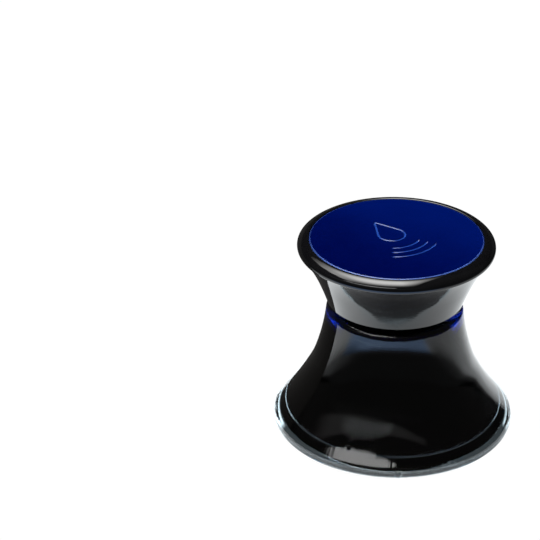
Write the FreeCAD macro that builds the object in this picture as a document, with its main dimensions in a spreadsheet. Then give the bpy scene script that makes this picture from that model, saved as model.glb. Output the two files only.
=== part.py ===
import FreeCAD, Part
import math
import os

import Sketcher

# Desk ink bottle: a flared glass bottle with a screw neck, its charge of ink and
# a spool-shaped screw cap. Millimetres. +Z up, origin at the centre of the
# resting plane. The front of the bottle faces -Y.
#
# Every size lives in the sheet "Sizes". Names ending in _rad are distances from
# the axis, in _high heights above the resting plane, in _arc radii of arcs.

# alias, value or formula, note. A formula uses only rows above it.
SIZES = [
    # --- glass, outside, from the bearing ring up to the rim
    ("bearing_inner_rad", 32.8, "bearing ring, inner edge"),
    ("bearing_outer_rad", 34.0, "bearing ring, outer edge"),
    ("bead_low_arc", 2.466, "foot bead, lower round"),
    ("bead_rad", 35.9, "foot bead, where its two rounds meet"),
    ("bead_high", 2.4, "its height"),
    ("bead_up_arc", 2.55, "foot bead, upper round"),
    ("bead_top_rad", 35.2, "where the bead runs into the flare"),
    ("bead_top_high", 4.155, "its height"),
    ("flare_foot_arc", 64.425, "concave arc of the flare next to the bead"),
    ("heel_rad", 25.5195, "upper end of that arc"),
    ("heel_high", 18.103, "its height"),
    ("flare_low_arc", 29.571, "lower concave arc of the flare"),
    ("flare_mid_rad", 23.8559, "upper end of that arc"),
    ("flare_mid_high", 22.0078, "its height"),
    ("flare_up_arc", 70.936, "upper concave arc of the flare"),
    ("waist_rad", 20.3908, "upper end of that arc, where the flare is narrowest"),
    ("waist_high", 37.6909, "its height"),
    ("shoulder_round", 2.1, "rounded shoulder"),
    ("shoulder_rad", 18.3021, "shoulder, inner end of the round"),
    ("shoulder_high", 39.5725, "top of the shoulder"),
    ("neck_rad", 14.87, "neck wall, E radius of a 33-400 finish"),
    ("neck_fillet", 1.0, "fillet where the neck stands on the shoulder"),
    ("neck_foot_rad", "=neck_rad + neck_fillet", "outer end of the fillet"),
    ("neck_foot_high", "=shoulder_high + neck_fillet", "upper end of the fillet"),
    ("rim_high", 50.0, "sealing land"),
    ("rim_outer_round", 0.6, "outer rounding of the rim"),
    ("rim_side_high", "=rim_high - rim_outer_round", "where the rim starts to round"),
    ("rim_outer_rad", "=neck_rad - rim_outer_round", "sealing land, outer edge"),
    ("bore_rad", 12.4, "bore of the neck"),
    ("rim_inner_round", 0.7, "inner rounding of the rim"),
    ("rim_inner_rad", "=bore_rad + rim_inner_round", "sealing land, inner edge"),
    ("bore_top_high", "=rim_high - rim_inner_round", "top of the straight bore"),
    # --- glass, inside, down to the floor
    ("bore_low_high", 39.2, "bottom of the straight bore"),
    ("inner_shoulder_arc", 3.0, "arc under the bore"),
    ("inner_shoulder_rad", 14.1798, "its lower end"),
    ("inner_shoulder_high", 36.4594, "its height"),
    ("inner_turn_rad", 15.8242, "start of the turn into the wall"),
    ("inner_turn_high", 35.7272, "its height"),
    ("inner_turn_arc", 3.0, "turn into the wall"),
    ("inner_top_rad", 17.5584, "end of the turn"),
    ("inner_top_high", 33.5076, "its height"),
    ("inner_up_arc", 74.16, "upper arc of the inner wall"),
    ("inner_mid_rad", 20.6424, "its lower end"),
    ("inner_mid_high", 21.7522, "its height"),
    ("inner_low_arc", 37.1, "lower arc of the inner wall"),
    ("inner_low_rad", 25.2083, "its lower end"),
    ("inner_low_high", 12.8488, "its height"),
    ("inner_corner_rad", 30.498, "bottom of the sloping inner wall"),
    ("inner_corner_high", 6.003, "its height"),
    ("inner_corner_arc", 1.5, "rounding between wall and floor"),
    ("floor_rad", 29.3, "outer edge of the floor"),
    ("floor_high", 3.6, "its height"),
    ("push_up_rad", 31.4, "edge of the hollow under the base"),
    ("push_up_high", 1.2, "height of that edge"),
    ("push_up_round", 1.6, "rounding of the hollow's edge"),
    ("push_up_flat_rad", 12.0, "flat middle of the hollow"),
    ("push_up_mid_high", 1.9, "its height"),
    # --- glass thread, right-handed, six turns to the inch
    ("thread_pitch", 4.233, "rise in one turn"),
    ("thread_root_rad", 14.55, "glass thread, buried root"),
    ("thread_crest_rad", 16.06, "glass thread, T radius of a 33-400 finish"),
    ("thread_start_high", 42.9, "middle of the glass thread where it starts"),
    ("thread_turns", 1.3, "turns of glass thread"),
    ("thread_root_half", 1.2, "half its width at the root"),
    ("thread_crest_half", 0.5, "half its width at the crest"),
    ("thread_root_low", "=thread_start_high - thread_root_half", "root, lower edge"),
    ("thread_root_top", "=thread_start_high + thread_root_half", "root, upper edge"),
    ("thread_crest_low", "=thread_start_high - thread_crest_half", "crest, lower edge"),
    ("thread_crest_top", "=thread_start_high + thread_crest_half", "crest, upper edge"),
    # --- spotting lug at the heel
    ("lug_round", 1.2, "radius of the lug"),
    ("lug_out", 35.43, "how far its centre stands in front of the axis"),
    ("lug_side", 0.1, "how far its centre stands to the right"),
    ("lug_high", 2.05, "height of its centre"),
    # --- ink: the inner wall of the glass, moved in by a small gap
    ("ink_gap", 0.05, "space between ink and glass in the model"),
    ("ink_level", 32.6, "level of the ink, 50 ml"),
    ("ink_top_rad", 17.7243, "inner wall at that level"),
    ("ink_surface_rad", "=ink_top_rad - ink_gap", "edge of the ink's surface"),
    ("ink_floor_high", "=floor_high + ink_gap", "bottom of the ink"),
    ("ink_corner_arc", "=inner_corner_arc - ink_gap", "rounding at the bottom"),
    ("ink_corner_rad", "=inner_corner_rad - 0.8 * ink_gap", "bottom of the slope"),
    ("ink_corner_high", "=inner_corner_high - 0.6 * ink_gap", "its height"),
    ("ink_low_rad", "=inner_low_rad - ink_gap", "top of the slope"),
    ("ink_low_arc", "=inner_low_arc + ink_gap", "lower arc of the side"),
    ("ink_mid_rad", "=inner_mid_rad - ink_gap", "its upper end"),
    ("ink_up_arc", "=inner_up_arc + ink_gap", "upper arc of the side"),
    # --- cap skirt
    ("skirt_low_rad", 20.28, "outer bottom edge"),
    ("skirt_low_high", 41.5, "its height"),
    ("skirt_low_arc", 87.5, "lower concave arc"),
    ("skirt_mid_rad", 23.249, "its upper end"),
    ("skirt_mid_high", 49.0592, "its height"),
    ("skirt_up_arc", 43.6357, "upper concave arc"),
    ("skirt_top_rad", 28.22, "outer top edge"),
    ("skirt_top_high", 57.49, "its height"),
    ("collar_rad", 17.95, "collar that holds the insert"),
    ("collar_low_rad", 18.25, "lead-in under the collar"),
    ("collar_low_high", 41.8, "top of the lead-in"),
    ("collar_high", 44.5, "ledge on the collar"),
    ("cavity_low_rad", 19.55, "cavity wall above the ledge"),
    ("cavity_mid_rad", 21.6, "cavity wall half way"),
    ("cavity_mid_high", 50.0, "its height"),
    ("socket_rad", 25.3, "socket for the top plate's spigot"),
    ("socket_low_high", 55.0, "bottom of the socket"),
    ("key_count", 6, "keys between collar and insert"),
    ("key_long", 2.4, "length of a key round the ledge"),
    ("key_deep", 1.1, "depth of a key from the cavity wall"),
    ("key_high", 1.1, "height of a key above the ledge"),
    ("key_sink", 0.5, "how far a key is buried in the ledge and the wall"),
    ("key_inner_rad", "=cavity_low_rad - key_deep", "inner face of a key"),
    ("key_outer_rad", "=cavity_low_rad + key_sink", "buried outer face of a key"),
    ("key_low_high", "=collar_high - key_sink", "buried bottom of a key"),
    ("key_full_high", "=key_high + key_sink", "height of a key with its buried part"),
    # --- threaded insert
    ("insert_rad", 17.9, "outside of the insert"),
    ("insert_low_high", 42.0, "its bottom edge"),
    ("insert_top_high", 53.0, "its top face"),
    ("insert_round", 0.8, "rounding of its top edge"),
    ("insert_bore_rad", 16.35, "inside of the insert"),
    ("insert_deck_high", 51.6, "inside of its top"),
    ("flange_rad", 19.35, "flange that sits on the collar"),
    ("flange_thick", 1.2, "its thickness"),
    ("flange_sink", 0.4, "how far it is buried in the insert's wall"),
    ("flange_inner_rad", "=insert_rad - flange_sink", "its buried inner edge"),
    ("keyway_gap", 0.15, "play between key and keyway"),
    ("keyway_over", 0.2, "how far the cut runs past the flange, below and above"),
    ("keyway_past", 1.0, "how far the cut runs past the flange's edge"),
    ("keyway_long", "=key_long + 2 * keyway_gap", "length of a keyway"),
    ("keyway_inner_rad", "=key_inner_rad - keyway_gap", "inner face of a keyway"),
    ("keyway_outer_rad", "=flange_rad + keyway_past", "outer end of the cut"),
    ("keyway_low_high", "=collar_high - keyway_over", "bottom of the cut"),
    ("keyway_full_high", "=flange_thick + 2 * keyway_over", "height of the cut"),
    ("insert_thread_root_rad", 16.7, "insert thread, buried root"),
    ("insert_thread_crest_rad", 15.2, "insert thread, crest"),
    ("insert_thread_high", 43.15, "middle of the insert thread where it starts"),
    ("insert_thread_phase", 143.0, "turn of that start round the axis"),
    ("insert_thread_turns", 1.15, "turns of insert thread"),
    ("insert_thread_root_half", 0.88, "half its width at the root"),
    ("insert_thread_crest_half", 0.4, "half its width at the crest"),
    ("insert_root_low", "=insert_thread_high - insert_thread_root_half", "root, lower edge"),
    ("insert_root_top", "=insert_thread_high + insert_thread_root_half", "root, upper edge"),
    ("insert_crest_low", "=insert_thread_high - insert_thread_crest_half", "crest, lower edge"),
    ("insert_crest_top", "=insert_thread_high + insert_thread_crest_half", "crest, upper edge"),
    # --- cap top plate with the rolled lip
    ("lip_low_rad", 28.3039, "underside of the lip"),
    ("lip_edge_round", 0.7818, "small round under the lip"),
    ("lip_low_out_rad", 28.9683, "upper end of that round"),
    ("lip_low_out_high", 57.9855, "its height"),
    ("lip_side_round", 1.7573, "round of the widest part"),
    ("lip_side_rad", 28.6336, "upper end of that round"),
    ("lip_side_high", 59.8135, "its height"),
    ("lip_top_round", 3.6281, "broad round of the top"),
    ("lip_top_rad", 25.95, "where the lip levels off"),
    ("lip_top_high", 61.0, "highest point of the lip"),
    ("recess_rad", 25.72, "recess for the disc"),
    ("recess_lip_high", 60.9, "edge of the recess"),
    ("recess_high", 59.5, "floor of the recess"),
    ("deck_high", "=skirt_top_high", "underside of the deck, on the skirt"),
    ("spigot_rad", 25.2, "spigot, outside"),
    ("spigot_inner_rad", 23.8, "spigot, inside"),
    ("spigot_high", 55.2, "bottom of the spigot"),
    ("boss_rad", 14.0, "ring boss that holds the insert down"),
    ("boss_inner_rad", 12.2, "its inside"),
    ("boss_high", "=insert_top_high", "its bottom, on the insert"),
    # --- seal liner
    ("liner_rad", 16.1, "liner"),
    ("liner_low_high", 50.03, "its underside, just above the rim"),
    ("liner_thick", 1.5, "its thickness"),
    # --- disc and its adhesive
    ("pad_rad", 23.5, "adhesive pad"),
    ("pad_thick", 0.2, "its thickness"),
    ("disc_rad", 25.62, "coloured disc"),
    ("disc_thick", 1.24, "its thickness"),
    ("disc_chamfer", 0.18, "chamfer of its upper edge"),
    ("disc_low_high", "=recess_high + pad_thick", "its underside"),
    ("disc_face_high", "=disc_low_high + disc_thick", "its upper face"),
    ("emblem_turn", 31.0, "turn of the emblem on the disc"),
    ("emblem_deep", 0.25, "depth of the emblem"),
    ("emblem_line", 0.7, "width of its lines"),
    ("drop_rad", 4.3, "round of the drop"),
    ("drop_mid", 2.6, "distance of the drop's centre from the disc's"),
    ("drop_tip", 9.6, "distance of the tip from the drop's centre"),
    ("drop_inner_rad", "=drop_rad - emblem_line", "inside of the drop's line"),
    ("drop_inner_tip", "=drop_tip * drop_inner_rad / drop_rad", "tip of the inside"),
    ("ripple_first", 8.2, "radius of the first ripple"),
    ("ripple_step", 2.7, "step between ripples"),
    ("ripple_half_angle", 38.0, "half the angle a ripple spans"),
]
RIPPLE_COUNT = 3

# Outlines of the revolved sections, walked point by point. Columns: radius,
# height and, where an arc leads to the next point, the way the walk turns along
# it and its radius. 0 is the axis or the resting plane.
GLASS_OUTLINE = [
    ("bearing_inner_rad", 0),
    ("bearing_outer_rad", 0, "left", "bead_low_arc"),
    ("bead_rad", "bead_high", "left", "bead_up_arc"),
    ("bead_top_rad", "bead_top_high", "right", "flare_foot_arc"),
    ("heel_rad", "heel_high", "right", "flare_low_arc"),
    ("flare_mid_rad", "flare_mid_high", "right", "flare_up_arc"),
    ("waist_rad", "waist_high", "left", "shoulder_round"),
    ("shoulder_rad", "shoulder_high"),
    ("neck_foot_rad", "shoulder_high", "right", "neck_fillet"),
    ("neck_rad", "neck_foot_high"),
    ("neck_rad", "rim_side_high", "left", "rim_outer_round"),
    ("rim_outer_rad", "rim_high"),
    ("rim_inner_rad", "rim_high", "left", "rim_inner_round"),
    ("bore_rad", "bore_top_high"),
    ("bore_rad", "bore_low_high", "left", "inner_shoulder_arc"),
    ("inner_shoulder_rad", "inner_shoulder_high"),
    ("inner_turn_rad", "inner_turn_high", "right", "inner_turn_arc"),
    ("inner_top_rad", "inner_top_high", "left", "inner_up_arc"),
    ("inner_mid_rad", "inner_mid_high", "left", "inner_low_arc"),
    ("inner_low_rad", "inner_low_high"),
    ("inner_corner_rad", "inner_corner_high", "right", "inner_corner_arc"),
    ("floor_rad", "floor_high"),
    (0, "floor_high"),
    (0, "push_up_mid_high"),
    ("push_up_flat_rad", "push_up_mid_high"),
    ("push_up_rad", "push_up_high", "right", "push_up_round"),
]
GLASS_THREAD_OUTLINE = [
    ("thread_root_rad", "thread_root_low"),
    ("thread_crest_rad", "thread_crest_low"),
    ("thread_crest_rad", "thread_crest_top"),
    ("thread_root_rad", "thread_root_top"),
]
INK_OUTLINE = [
    (0, "ink_floor_high"),
    ("floor_rad", "ink_floor_high", "left", "ink_corner_arc"),
    ("ink_corner_rad", "ink_corner_high"),
    ("ink_low_rad", "inner_low_high", "right", "ink_low_arc"),
    ("ink_mid_rad", "inner_mid_high", "right", "ink_up_arc"),
    ("ink_surface_rad", "ink_level"),
    (0, "ink_level"),
]
SKIRT_OUTLINE = [
    ("collar_low_rad", "skirt_low_high"),
    ("skirt_low_rad", "skirt_low_high", "right", "skirt_low_arc"),
    ("skirt_mid_rad", "skirt_mid_high", "right", "skirt_up_arc"),
    ("skirt_top_rad", "skirt_top_high"),
    ("socket_rad", "skirt_top_high"),
    ("socket_rad", "socket_low_high"),
    ("cavity_mid_rad", "cavity_mid_high"),
    ("cavity_low_rad", "collar_high"),
    ("collar_rad", "collar_high"),
    ("collar_rad", "collar_low_high"),
]
TOP_OUTLINE = [
    ("boss_inner_rad", "boss_high"),
    ("boss_rad", "boss_high"),
    ("boss_rad", "deck_high"),
    ("spigot_inner_rad", "deck_high"),
    ("spigot_inner_rad", "spigot_high"),
    ("spigot_rad", "spigot_high"),
    ("spigot_rad", "deck_high"),
    ("lip_low_rad", "deck_high", "left", "lip_edge_round"),
    ("lip_low_out_rad", "lip_low_out_high", "left", "lip_side_round"),
    ("lip_side_rad", "lip_side_high", "left", "lip_top_round"),
    ("lip_top_rad", "lip_top_high"),
    ("recess_rad", "recess_lip_high"),
    ("recess_rad", "recess_high"),
    (0, "recess_high"),
    (0, "deck_high"),
    ("boss_inner_rad", "deck_high"),
]
INSERT_OUTLINE = [
    ("insert_bore_rad", "insert_low_high"),
    ("insert_rad", "insert_low_high"),
    ("insert_rad", "insert_top_high"),
    (0, "insert_top_high"),
    (0, "insert_deck_high"),
    ("insert_bore_rad", "insert_deck_high"),
]
INSERT_THREAD_OUTLINE = [
    ("insert_thread_root_rad", "insert_root_low"),
    ("insert_thread_crest_rad", "insert_crest_low"),
    ("insert_thread_crest_rad", "insert_crest_top"),
    ("insert_thread_root_rad", "insert_root_top"),
]

# Sketcher's numbers for the points of a curve and for the sketch's own axes.
START, END, CENTRE = 1, 2, 3
X_AXIS, Y_AXIS = -1, -2
ORIGIN = (-1, 1)
NORMAL = FreeCAD.Vector(0, 0, 1)

doc = FreeCAD.newDocument("ink_bottle")


def fill_sheet():
    """Write the sizes to the sheet and return their values by alias."""
    sheet = doc.addObject("Spreadsheet::Sheet", "Sizes")
    sheet.Label = "Sizes"
    for row, (alias, value, note) in enumerate(SIZES, start=1):
        sheet.set(f"A{row}", note)
        sheet.set(f"B{row}", str(value))
        sheet.setAlias(f"B{row}", alias)
    doc.recompute()
    return {alias: float(sheet.get(alias)) for alias, _, _ in SIZES}


sizes = fill_sheet()


def ref(alias):
    return "Sizes." + alias


def origin_feature(body, role):
    return next(f for f in body.Origin.OriginFeatures if f.Role == role)


def new_body(name):
    body = doc.addObject("PartDesign::Body", name)
    body.Label = name
    return body


def finish(body, feature):
    """Work out a new feature and make it the body's result."""
    doc.recompute()
    body.Tip = feature
    return feature


# ------------------------------------------------------------- sketch helpers
def new_sketch(body, name, plane, high=None, turn=None, turn_axis=NORMAL):
    """A sketch on an origin plane, raised to a height and turned if aliases are given."""
    sketch = body.newObject("Sketcher::SketchObject", name)
    sketch.AttachmentSupport = [(origin_feature(body, plane), "")]
    sketch.MapMode = "FlatFace"
    sketch.AttachmentOffset = FreeCAD.Placement(
        FreeCAD.Vector(0, 0, sizes[high] if high else 0),
        FreeCAD.Rotation(turn_axis, sizes[turn] if turn else 0),
    )
    if high:
        sketch.setExpression("AttachmentOffset.Base.z", ref(high))
    if turn:
        sketch.setExpression("AttachmentOffset.Rotation.Angle", ref(turn))
    return sketch


def constrain(sketch, *constraint):
    return sketch.addConstraint(Sketcher.Constraint(*constraint))


def drive(sketch, name, expression, *constraint):
    """Add a named dimension that follows an expression."""
    sketch.renameConstraint(constrain(sketch, *constraint), name)
    sketch.setExpression("Constraints." + name, expression)


def add_line(sketch, start, end):
    line = Part.LineSegment(FreeCAD.Vector(*start, 0), FreeCAD.Vector(*end, 0))
    return sketch.addGeometry(line, False)


def add_circle(sketch, name, radius):
    """A circle about the sketch's origin."""
    circle = Part.Circle(FreeCAD.Vector(0, 0, 0), NORMAL, sizes[radius])
    curve = sketch.addGeometry(circle, False)
    constrain(sketch, "Coincident", curve, CENTRE, *ORIGIN)
    drive(sketch, name, ref(radius), "Radius", curve, sizes[radius])


def arc_between(start, end, radius, turn):
    """Arc along which the walk from start to end turns left or right.

    Arcs run anticlockwise, so a right turn is stored back to front: the arc
    comes with the numbers of its points at the walk's start and end.
    """
    (x1, y1), (x2, y2) = start, end
    dx, dy = x2 - x1, y2 - y1
    chord = math.hypot(dx, dy)
    offset = math.sqrt(max(radius * radius - chord * chord / 4.0, 0.0))
    if turn == "right":
        offset = -offset
    centre_x = (x1 + x2) / 2.0 - dy / chord * offset
    centre_y = (y1 + y2) / 2.0 + dx / chord * offset
    first = math.atan2(y1 - centre_y, x1 - centre_x)
    last = math.atan2(y2 - centre_y, x2 - centre_x)
    ends = (START, END)
    if turn == "right":
        first, last = last, first
        ends = (END, START)
    if last < first:
        last += 2 * math.pi
    circle = Part.Circle(FreeCAD.Vector(centre_x, centre_y, 0), NORMAL, radius)
    return Part.ArcOfCircle(circle, first, last), *ends


def draw_outline(sketch, outline):
    """Draw a closed outline and tie each point and arc to the sheet."""
    points = [
        tuple(sizes[place] if place else 0.0 for place in row[:2]) for row in outline
    ]
    curves = []
    for i, (_, _, *arc) in enumerate(outline):
        start, end = points[i], points[(i + 1) % len(points)]
        if arc:
            turn, radius = arc
            shape, first, last = arc_between(start, end, sizes[radius], turn)
            curves.append((sketch.addGeometry(shape, False), first, last))
        else:
            curves.append((add_line(sketch, start, end), START, END))
    for (curve, _, last), (following, first, _) in zip(curves, curves[1:] + curves[:1]):
        constrain(sketch, "Coincident", curve, last, following, first)
    for i, (radius, height, *_) in enumerate(outline):
        point = curves[i][:2]
        if radius:
            drive(sketch, f"rad_{i:02d}", ref(radius), "DistanceX", *ORIGIN, *point, sizes[radius])
        else:
            constrain(sketch, "PointOnObject", *point, Y_AXIS)
        if height:
            drive(sketch, f"high_{i:02d}", ref(height), "DistanceY", *ORIGIN, *point, sizes[height])
        else:
            constrain(sketch, "PointOnObject", *point, X_AXIS)
    for i, (_, _, *arc) in enumerate(outline):
        if arc:
            drive(sketch, f"arc_{i:02d}", ref(arc[1]), "Radius", curves[i][0], sizes[arc[1]])
    doc.recompute()


def key_sketch(body, name, high, inner, outer, wide):
    """A rectangle that straddles the +X axis, drawn at the given height."""
    sketch = new_sketch(body, name, "XY_Plane", high=high)
    near, far, half = sizes[inner], sizes[outer], sizes[wide] / 2.0
    corners = [(near, -half), (far, -half), (far, half), (near, half)]
    sides = [add_line(sketch, corners[i], corners[(i + 1) % 4]) for i in range(4)]
    for i in range(4):
        constrain(sketch, "Coincident", sides[i], END, sides[(i + 1) % 4], START)
    constrain(sketch, "Horizontal", sides[0])
    for side in (sides[1], sides[3]):
        constrain(sketch, "Symmetric", side, START, side, END, X_AXIS)
    drive(sketch, "inner", ref(inner), "DistanceX", *ORIGIN, sides[0], START, near)
    drive(sketch, "outer", ref(outer), "DistanceX", *ORIGIN, sides[0], END, far)
    drive(sketch, "wide", ref(wide), "DistanceY", sides[1], START, sides[1], END, sizes[wide])
    doc.recompute()
    return sketch


# ------------------------------------------------------------ feature helpers
def revolve(body, name, outline):
    """Turn an outline on the XZ plane round the axis."""
    sketch = new_sketch(body, name + "_section", "XZ_Plane")
    draw_outline(sketch, outline)
    revolution = body.newObject("PartDesign::Revolution", name + "_revolution")
    revolution.Profile = sketch
    revolution.ReferenceAxis = (sketch, ["V_Axis"])
    revolution.Angle = 360.0
    return finish(body, revolution)


def add_thread(body, name, outline, turns, phase=None):
    """Wind a thread's section up round the axis; phase turns its start about +Z."""
    # The XZ sketch's own Y axis is the bottle's +Z.
    sketch = new_sketch(
        body, name + "_section", "XZ_Plane", turn=phase, turn_axis=FreeCAD.Vector(0, 1, 0)
    )
    draw_outline(sketch, outline)
    helix = body.newObject("PartDesign::AdditiveHelix", name)
    helix.Profile = sketch
    helix.ReferenceAxis = (sketch, ["V_Axis"])
    helix.Mode = "pitch-turns-angle"
    helix.Pitch = sizes["thread_pitch"]
    helix.Turns = sizes[turns]
    helix.setExpression("Pitch", ref("thread_pitch"))
    helix.setExpression("Turns", ref(turns))
    helix.Angle = 0.0
    helix.LeftHanded = False
    return finish(body, helix)


def extrude(body, kind, name, sketch, length, flip=False):
    """Pad upwards or pocket downwards from a sketch; flip turns that round."""
    feature = body.newObject("PartDesign::" + kind, name)
    feature.Profile = sketch
    feature.Length = sizes[length]
    feature.setExpression("Length", ref(length))
    feature.Reversed = flip
    return finish(body, feature)


def repeat_keys(body, name, original):
    """Repeat a key or keyway round the axis."""
    pattern = body.newObject("PartDesign::PolarPattern", name)
    pattern.Originals = [original]
    pattern.Axis = (origin_feature(body, "Z_Axis"), [""])
    pattern.Angle = 360.0
    pattern.Occurrences = int(sizes["key_count"])
    pattern.setExpression("Occurrences", ref("key_count"))
    return finish(body, pattern)


def is_ring(edge, radius, height):
    """Whether an edge is a circle about the axis with this radius and height."""
    curve = getattr(edge, "Curve", None)
    return (
        curve is not None
        and curve.TypeId == "Part::GeomCircle"
        and abs(curve.Radius - radius) < 1e-4
        and abs(curve.Center.z - height) < 1e-4
        and math.hypot(curve.Center.x, curve.Center.y) < 1e-6
    )


def dress_ring(body, kind, name, base, ring, size_property, size):
    """Fillet or chamfer the ring edge given by its radius and height."""
    radius, height = (sizes[alias] for alias in ring)
    edges = [
        f"Edge{i}"
        for i, edge in enumerate(base.Shape.Edges, start=1)
        if is_ring(edge, radius, height)
    ]
    if not edges:
        raise RuntimeError("no edge found on " + base.Name)
    feature = body.newObject("PartDesign::" + kind, name)
    feature.Base = (base, edges)
    setattr(feature, size_property, sizes[size])
    feature.setExpression(size_property, ref(size))
    return finish(body, feature)


# --------------------------------------------------------------------- pieces
def make_glass():
    """Bottle with its neck thread and a lug on the front of the foot bead."""
    body = new_body("glass_bottle")
    revolve(body, "glass", GLASS_OUTLINE)
    add_thread(body, "glass_thread", GLASS_THREAD_OUTLINE, "thread_turns")

    lug = body.newObject("PartDesign::AdditiveSphere", "heel_lug")
    lug.Radius = sizes["lug_round"]
    lug.setExpression("Radius", ref("lug_round"))
    lug.AttachmentSupport = [(origin_feature(body, "XY_Plane"), "")]
    lug.MapMode = "FlatFace"
    lug.AttachmentOffset = FreeCAD.Placement(
        FreeCAD.Vector(sizes["lug_side"], -sizes["lug_out"], sizes["lug_high"]),
        FreeCAD.Rotation(),
    )
    lug.setExpression("AttachmentOffset.Base.x", ref("lug_side"))
    lug.setExpression("AttachmentOffset.Base.y", "-" + ref("lug_out"))
    lug.setExpression("AttachmentOffset.Base.z", ref("lug_high"))
    finish(body, lug)
    return body


def make_revolved(body_name, name, outline):
    """A piece that is a single revolved outline."""
    body = new_body(body_name)
    revolve(body, name, outline)
    return body


def make_skirt():
    """Cap skirt; keys on its ledge stop the insert from turning."""
    body = new_body("cap_skirt")
    revolve(body, "skirt", SKIRT_OUTLINE)
    sketch = key_sketch(
        body, "key_section", "key_low_high", "key_inner_rad", "key_outer_rad", "key_long"
    )
    key = extrude(body, "Pad", "key", sketch, "key_full_high")
    repeat_keys(body, "keys", key)
    return body


def make_insert():
    """Threaded cup whose flange sits on the collar, notched for the keys."""
    body = new_body("threaded_insert")
    cup = revolve(body, "insert", INSERT_OUTLINE)
    dress_ring(
        body, "Fillet", "insert_top_round", cup,
        ring=("insert_rad", "insert_top_high"), size_property="Radius", size="insert_round",
    )

    sketch = new_sketch(body, "flange_section", "XY_Plane", high="collar_high")
    add_circle(sketch, "outer", "flange_rad")
    add_circle(sketch, "inner", "flange_inner_rad")
    doc.recompute()
    extrude(body, "Pad", "flange", sketch, "flange_thick")

    # The keyway's sketch lies under the flange, so the pocket runs upwards.
    sketch = key_sketch(
        body, "keyway_section",
        "keyway_low_high", "keyway_inner_rad", "keyway_outer_rad", "keyway_long",
    )
    keyway = extrude(body, "Pocket", "keyway", sketch, "keyway_full_high", flip=True)
    repeat_keys(body, "keyways", keyway)

    # This thread starts further round than the glass's.
    add_thread(
        body, "insert_thread", INSERT_THREAD_OUTLINE,
        "insert_thread_turns", phase="insert_thread_phase",
    )
    return body


def make_cylinder(name, radius, height, low):
    """A plain cylinder standing at height low."""
    cylinder = doc.addObject("Part::Cylinder", name)
    cylinder.Label = name
    cylinder.setExpression("Radius", ref(radius))
    cylinder.setExpression("Height", ref(height))
    cylinder.Placement = FreeCAD.Placement(
        FreeCAD.Vector(0, 0, sizes[low]), FreeCAD.Rotation()
    )
    cylinder.setExpression("Placement.Base.z", ref(low))
    return cylinder


def draw_drop(sketch, tag, radius_alias, tip_alias):
    """A round with two straight sides that meet at a tip on the sketch's Y axis."""
    radius, tip, middle = sizes[radius_alias], sizes[tip_alias], sizes["drop_mid"]
    lean = math.asin(radius / tip)
    touch_x = radius * math.cos(lean)
    touch_y = middle + radius * math.sin(lean)
    apex = (0.0, middle + tip)
    circle = Part.Circle(FreeCAD.Vector(0, middle, 0), NORMAL, radius)
    arc = sketch.addGeometry(
        Part.ArcOfCircle(circle, math.pi - lean, 2 * math.pi + lean), False
    )
    right = add_line(sketch, (touch_x, touch_y), apex)
    left = add_line(sketch, apex, (-touch_x, touch_y))
    constrain(sketch, "Tangent", arc, END, right, START)
    constrain(sketch, "Coincident", right, END, left, START)
    constrain(sketch, "Tangent", left, END, arc, START)
    constrain(sketch, "PointOnObject", arc, CENTRE, Y_AXIS)
    constrain(sketch, "PointOnObject", right, END, Y_AXIS)
    drive(sketch, tag + "_rad", ref(radius_alias), "Radius", arc, radius)
    drive(sketch, tag + "_mid", ref("drop_mid"), "DistanceY", *ORIGIN, arc, CENTRE, middle)
    drive(sketch, tag + "_tip", ref(tip_alias), "DistanceY", arc, CENTRE, right, END, tip)


def draw_ripple(sketch, step):
    """A band of even width between two arcs about the drop's centre, with straight ends."""
    tag = f"ripple{step}"
    middle = sizes["drop_mid"]
    half = math.radians(sizes["ripple_half_angle"])
    inner_radius = sizes["ripple_first"] + step * sizes["ripple_step"]
    outer_radius = inner_radius + sizes["emblem_line"]
    first, last = -math.pi / 2 - half, -math.pi / 2 + half

    def add_arc(radius):
        circle = Part.Circle(FreeCAD.Vector(0, middle, 0), NORMAL, radius)
        return sketch.addGeometry(Part.ArcOfCircle(circle, first, last), False)

    def at(radius, angle):
        return radius * math.cos(angle), middle + radius * math.sin(angle)

    inner = add_arc(inner_radius)
    outer = add_arc(outer_radius)
    left = add_line(sketch, at(inner_radius, first), at(outer_radius, first))
    right = add_line(sketch, at(outer_radius, last), at(inner_radius, last))
    for constraint in (
        ("Coincident", left, START, inner, START),
        ("Coincident", left, END, outer, START),
        ("Coincident", right, START, outer, END),
        ("Coincident", right, END, inner, END),
        ("Coincident", inner, CENTRE, outer, CENTRE),
        ("PointOnObject", inner, CENTRE, left),
        ("PointOnObject", inner, CENTRE, right),
        ("Symmetric", left, START, right, END, Y_AXIS),
    ):
        constrain(sketch, *constraint)
    radius = f"{ref('ripple_first')} + {step} * {ref('ripple_step')}"
    drive(sketch, tag + "_mid", ref("drop_mid"), "DistanceY", *ORIGIN, inner, CENTRE, middle)
    drive(sketch, tag + "_in", radius, "Radius", inner, inner_radius)
    drive(
        sketch, tag + "_out", f"{radius} + {ref('emblem_line')}", "Radius", outer, outer_radius
    )
    drive(
        sketch, tag + "_wide", f"2 * ({radius}) * sin({ref('ripple_half_angle')} * 1deg)",
        "DistanceX", left, START, right, END, 2 * inner_radius * math.sin(half),
    )


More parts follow.
